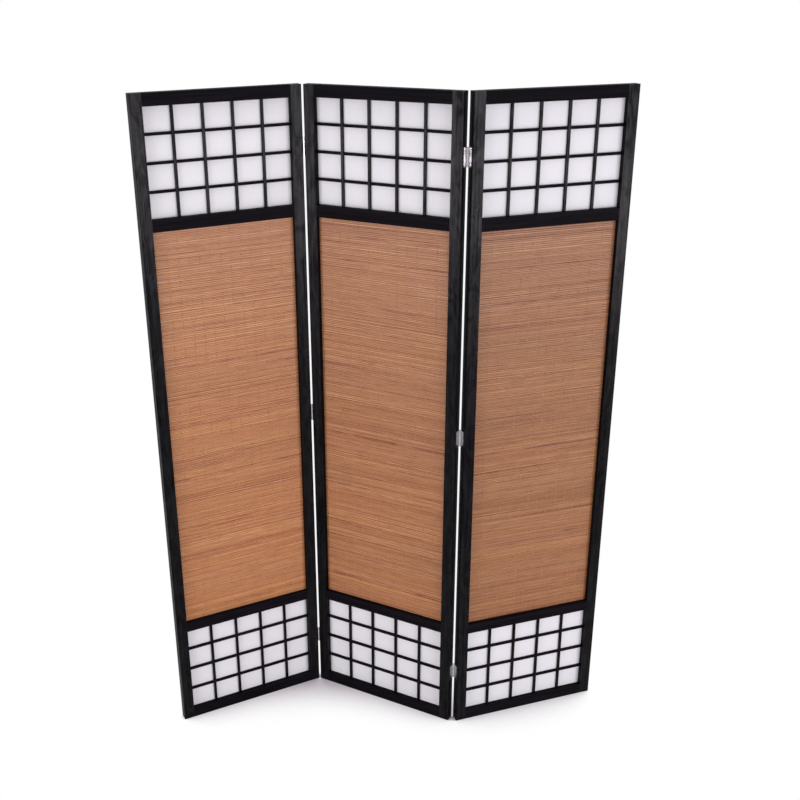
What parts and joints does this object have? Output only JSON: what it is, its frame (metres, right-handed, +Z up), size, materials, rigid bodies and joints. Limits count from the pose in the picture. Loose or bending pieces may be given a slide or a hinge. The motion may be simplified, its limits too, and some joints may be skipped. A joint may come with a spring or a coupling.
{
  "type": "folding screen",
  "caption": "Free-standing folding screen of hinged timber panels, each with a bamboo mat between paper-backed lattices.",
  "frame": {"origin": "on the floor, under the middle of the screen's bounding box in plan", "axes": "+X to the viewer's right, +Y from front to back, +Z up; the lattice bars are on the panels' front faces"},
  "size_m": [1.2331, 0.2373, 1.79],
  "materials": {
    "frame_wood": "black stain, matte, grain showing",
    "lattice_wood": "black stain, matte",
    "dowel_wood": "bare turned wood",
    "paper": "white laminated paper, matte",
    "bamboo": "split bamboo, satin",
    "hinge_steel": "plated, satin",
    "pin_steel": "plated, satin",
    "screw_steel": "plated"
  },
  "bodies": {
    "centre_panel": {"centre_panel_left_stile": "frame_wood", "centre_panel_right_stile": "frame_wood", "centre_panel_top_rail": "frame_wood", "centre_panel_upper_rail": "frame_wood", "centre_panel_lower_rail": "frame_wood", "centre_panel_bottom_rail": "frame_wood", "centre_panel_dowels": "dowel_wood", "centre_panel_upper_lattice_uprights": "lattice_wood", "centre_panel_upper_lattice_crossbars": "lattice_wood", "centre_panel_upper_paper": "paper", "centre_panel_lower_lattice_uprights": "lattice_wood", "centre_panel_lower_lattice_crossbars": "lattice_wood", "centre_panel_lower_paper": "paper", "centre_panel_bamboo_mat": "bamboo", "centre_panel_hinge_screws": "screw_steel", "lower_left_hinge_right_leaf": "hinge_steel", "middle_left_hinge_right_leaf": "hinge_steel", "upper_left_hinge_right_leaf": "hinge_steel", "left_hinge_pins": "pin_steel", "lower_right_hinge_left_leaf": "hinge_steel", "middle_right_hinge_left_leaf": "hinge_steel", "upper_right_hinge_left_leaf": "hinge_steel", "right_hinge_pins": "pin_steel"},
    "left_panel": {"left_panel_left_stile": "frame_wood", "left_panel_right_stile": "frame_wood", "left_panel_top_rail": "frame_wood", "left_panel_upper_rail": "frame_wood", "left_panel_lower_rail": "frame_wood", "left_panel_bottom_rail": "frame_wood", "left_panel_dowels": "dowel_wood", "left_panel_upper_lattice_uprights": "lattice_wood", "left_panel_upper_lattice_crossbars": "lattice_wood", "left_panel_upper_paper": "paper", "left_panel_lower_lattice_uprights": "lattice_wood", "left_panel_lower_lattice_crossbars": "lattice_wood", "left_panel_lower_paper": "paper", "left_panel_bamboo_mat": "bamboo", "left_panel_hinge_screws": "screw_steel", "lower_left_hinge_left_leaf": "hinge_steel", "middle_left_hinge_left_leaf": "hinge_steel", "upper_left_hinge_left_leaf": "hinge_steel"},
    "right_panel": {"right_panel_left_stile": "frame_wood", "right_panel_right_stile": "frame_wood", "right_panel_top_rail": "frame_wood", "right_panel_upper_rail": "frame_wood", "right_panel_lower_rail": "frame_wood", "right_panel_bottom_rail": "frame_wood", "right_panel_dowels": "dowel_wood", "right_panel_upper_lattice_uprights": "lattice_wood", "right_panel_upper_lattice_crossbars": "lattice_wood", "right_panel_upper_paper": "paper", "right_panel_lower_lattice_uprights": "lattice_wood", "right_panel_lower_lattice_crossbars": "lattice_wood", "right_panel_lower_paper": "paper", "right_panel_bamboo_mat": "bamboo", "right_panel_hinge_screws": "screw_steel", "lower_right_hinge_right_leaf": "hinge_steel", "middle_right_hinge_right_leaf": "hinge_steel", "upper_right_hinge_right_leaf": "hinge_steel"}
  },
  "joints": [
    {"name": "left_fold", "type": "hinge", "parent": "centre_panel", "child": "left_panel", "pos_m": [-0.21142, 0.09659, 0], "axis": [0, 0, 1], "range_deg": [-56, 124]},
    {"name": "right_fold", "type": "hinge", "parent": "centre_panel", "child": "right_panel", "pos_m": [0.18965, -0.09485, 0], "axis": [0, 0, 1], "range_deg": [-47.5, 132.5]}
  ]
}
